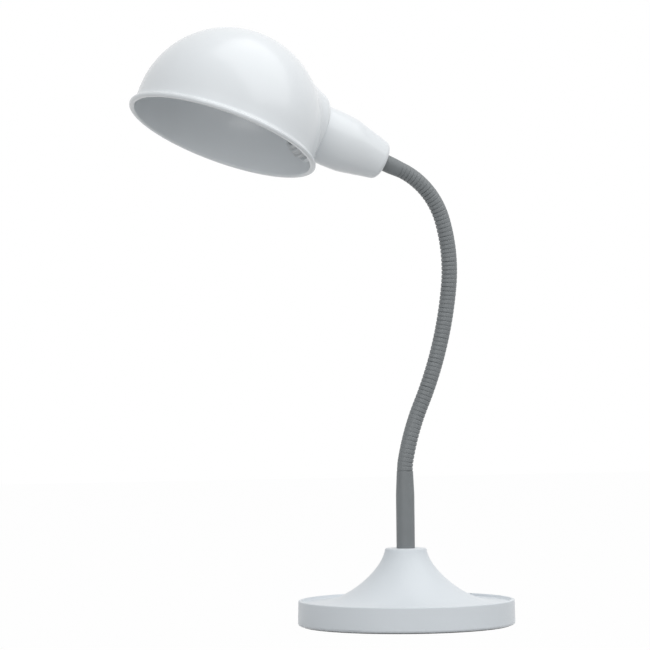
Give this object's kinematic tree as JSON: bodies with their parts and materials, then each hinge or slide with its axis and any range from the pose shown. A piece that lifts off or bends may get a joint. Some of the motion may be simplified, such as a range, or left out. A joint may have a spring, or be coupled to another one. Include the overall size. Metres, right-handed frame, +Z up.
{
  "type": "gooseneck desk lamp",
  "caption": "Round weighted base with a trumpet stem, a ribbed flexible neck and a tilted spun dome shade on a screw lampholder.",
  "frame": {"origin": "centre of the foot pad's underside, on the base's axis", "axes": "+Z up along the base's axis, -X the side that the neck hangs the shade out to, +Y the side of the flex inlet"},
  "size_m": [0.2953, 0.1667, 0.4494],
  "materials": {
    "base_enamel": "gloss",
    "cast_iron": "matte",
    "base_plate_plastic": "matte",
    "pad_rubber": "matte",
    "grommet_rubber": "matte",
    "zinc_steel": "satin",
    "conduit_steel": "satin",
    "brass": "satin",
    "grey_pvc": "matte",
    "neck_pvc": "satin",
    "shade_enamel": "gloss",
    "cup_enamel": "gloss",
    "holder_thermoplastic": "satin",
    "block_ceramic": "matte"
  },
  "bodies": {
    "base": {"base_shell": "base_enamel", "ballast_disc": "cast_iron", "base_plate": "base_plate_plastic", "base_pad": "pad_rubber", "plate_screws": "zinc_steel", "cord_grommet": "grommet_rubber", "lower_nipple": "zinc_steel", "lower_washer": "zinc_steel", "lower_locknut": "brass", "sleeve_nut": "brass", "lower_sleeve": "grey_pvc", "neck_core_00": "conduit_steel", "neck_skin_01": "neck_pvc"},
    "neck_01": {"neck_core_01": "conduit_steel", "neck_skin_02": "neck_pvc"},
    "neck_02": {"neck_core_02": "conduit_steel", "neck_skin_03": "neck_pvc"},
    "neck_03": {"neck_core_03": "conduit_steel", "neck_skin_04": "neck_pvc"},
    "neck_04": {"neck_core_04": "conduit_steel", "neck_skin_05": "neck_pvc"},
    "neck_05": {"neck_core_05": "conduit_steel", "neck_skin_06": "neck_pvc"},
    "neck_06": {"neck_core_06": "conduit_steel", "neck_skin_07": "neck_pvc"},
    "neck_07": {"neck_core_07": "conduit_steel", "neck_skin_08": "neck_pvc"},
    "neck_08": {"neck_core_08": "conduit_steel", "neck_skin_09": "neck_pvc"},
    "neck_09": {"neck_core_09": "conduit_steel", "neck_skin_10": "neck_pvc"},
    "neck_10": {"neck_core_10": "conduit_steel", "neck_skin_11": "neck_pvc"},
    "neck_11": {"neck_core_11": "conduit_steel", "neck_skin_12": "neck_pvc"},
    "neck_12": {"neck_core_12": "conduit_steel", "top_sleeve": "grey_pvc", "upper_nipple": "zinc_steel", "upper_locknut": "brass"},
    "head": {"socket_cup": "cup_enamel", "lampholder_cap": "holder_thermoplastic", "lampholder_skirt": "holder_thermoplastic", "cap_grub_screw": "zinc_steel", "contact_block": "block_ceramic", "screw_shell": "brass", "centre_contact": "brass", "side_contact": "brass", "terminal_screws": "brass", "shade_ring": "holder_thermoplastic", "shade": "shade_enamel"}
  },
  "joints": [
    {"name": "neck_bend_01", "type": "hinge", "parent": "base", "child": "neck_01", "pos_m": [0.00248, 0, 0.13333], "axis": [0, 1, 0], "range_deg": [-14, 10], "deforming": ["neck_skin_01"]},
    {"name": "neck_bend_02", "type": "hinge", "parent": "neck_01", "child": "neck_02", "pos_m": [0.00796, 0, 0.15241], "axis": [0, 1, 0], "range_deg": [-14, 10], "deforming": ["neck_skin_02"]},
    {"name": "neck_side_bend_03", "type": "hinge", "parent": "neck_02", "child": "neck_03", "pos_m": [0.01534, 0, 0.17084], "axis": [0.9177, 0, -0.3973], "range_deg": [-15, 15], "deforming": ["neck_skin_03"]},
    {"name": "neck_bend_04", "type": "hinge", "parent": "neck_03", "child": "neck_04", "pos_m": [0.02262, 0, 0.18932], "axis": [0, 1, 0], "range_deg": [-14, 10], "deforming": ["neck_skin_04"]},
    {"name": "neck_bend_05", "type": "hinge", "parent": "neck_04", "child": "neck_05", "pos_m": [0.02864, 0, 0.20824], "axis": [0, 1, 0], "range_deg": [-14, 10], "deforming": ["neck_skin_05"]},
    {"name": "neck_side_bend_06", "type": "hinge", "parent": "neck_05", "child": "neck_06", "pos_m": [0.03339, 0, 0.22753], "axis": [0.9784, 0, -0.2066], "range_deg": [-15, 15], "deforming": ["neck_skin_06"]},
    {"name": "neck_bend_07", "type": "hinge", "parent": "neck_06", "child": "neck_07", "pos_m": [0.03685, 0, 0.24708], "axis": [0, 1, 0], "range_deg": [-14, 10], "deforming": ["neck_skin_07"]},
    {"name": "neck_bend_08", "type": "hinge", "parent": "neck_07", "child": "neck_08", "pos_m": [0.03881, 0, 0.26684], "axis": [0, 1, 0], "range_deg": [-5, 24], "deforming": ["neck_skin_08"]},
    {"name": "neck_bend_09", "type": "hinge", "parent": "neck_08", "child": "neck_09", "pos_m": [0.03798, 0, 0.28667], "axis": [0, 1, 0], "range_deg": [-5, 24], "deforming": ["neck_skin_09"]},
    {"name": "neck_side_bend_10", "type": "hinge", "parent": "neck_09", "child": "neck_10", "pos_m": [0.03414, 0, 0.30613], "axis": [0.9634, 0, 0.2682], "range_deg": [-15, 15], "deforming": ["neck_skin_10"]},
    {"name": "neck_bend_11", "type": "hinge", "parent": "neck_10", "child": "neck_11", "pos_m": [0.02615, 0, 0.32423], "axis": [0, 1, 0], "range_deg": [-5, 24], "deforming": ["neck_skin_11"]},
    {"name": "neck_bend_12", "type": "hinge", "parent": "neck_11", "child": "neck_12", "pos_m": [0.01273, 0, 0.33875], "axis": [0, 1, 0], "range_deg": [-5, 24], "deforming": ["neck_skin_12"]},
    {"name": "head_turn", "type": "hinge", "parent": "neck_12", "child": "head", "pos_m": [-0.0155, 0, 0.35255], "axis": [-0.9278, 0, 0.373], "range_deg": [-175, 155]}
  ]
}
